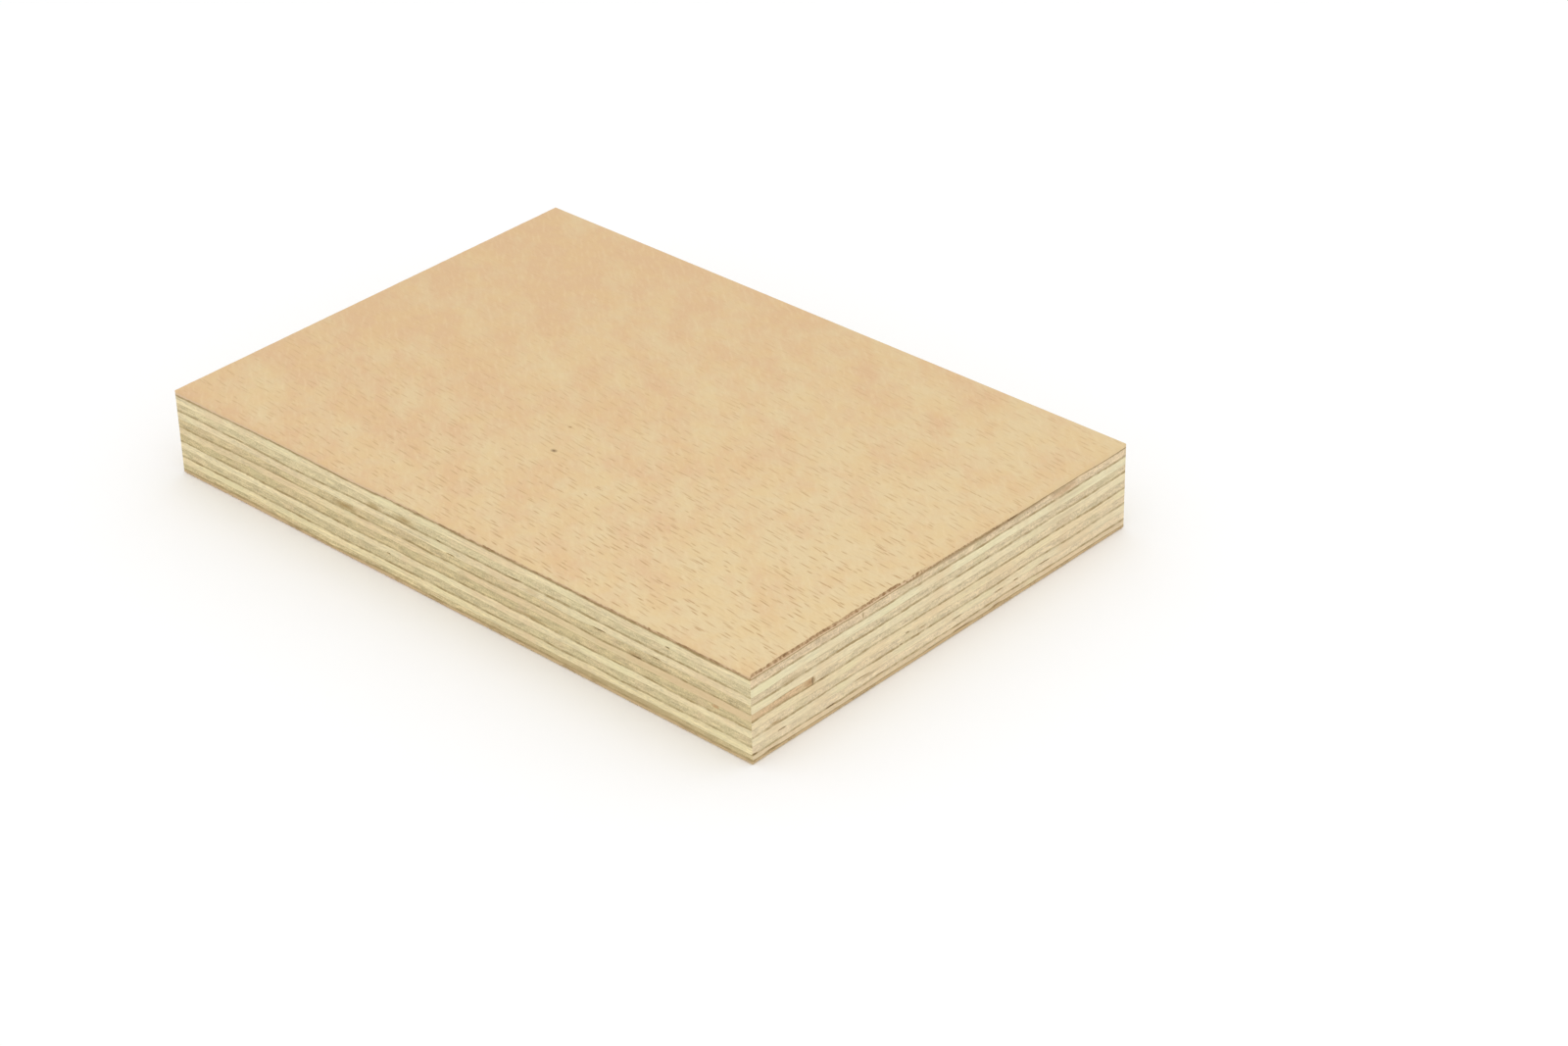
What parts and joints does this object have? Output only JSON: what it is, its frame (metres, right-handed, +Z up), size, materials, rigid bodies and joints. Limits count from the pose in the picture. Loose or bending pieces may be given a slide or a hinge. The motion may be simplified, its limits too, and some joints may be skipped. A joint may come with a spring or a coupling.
{
  "type": "plywood sheet",
  "caption": "Rectangular piece of beech-faced plywood, rotary-cut veneers glued crosswise into a flat panel for building, furniture and lining work.",
  "frame": {"origin": "middle of the back, on the surface that the piece lies on", "axes": "+X along the face grain and the longer side, +Y across the face grain, +Z up from the back to the face"},
  "size_m": [0.147, 0.1, 0.018],
  "materials": {
    "beech_face": "sanded rotary-cut beech veneer, unfinished",
    "poplar_long": "sawn poplar veneer, grain along the panel",
    "poplar_cross": "sawn poplar veneer, grain across the panel",
    "brown_strip": "sawn brown core veneer, grain along the panel",
    "beech_back": "sanded rotary-cut beech veneer, unfinished"
  },
  "bodies": {
    "root": {"face_veneer": "beech_face", "long_ply_1": "poplar_long", "cross_ply_1": "poplar_cross", "long_ply_2": "poplar_long", "cross_ply_2": "poplar_cross", "long_ply_3": "poplar_long", "cross_ply_3": "poplar_cross", "long_ply_4": "poplar_long", "cross_ply_4": "poplar_cross", "long_ply_5": "poplar_long", "cross_ply_5": "poplar_cross", "edge_strip": "brown_strip", "back_veneer": "beech_back"}
  },
  "joints": []
}
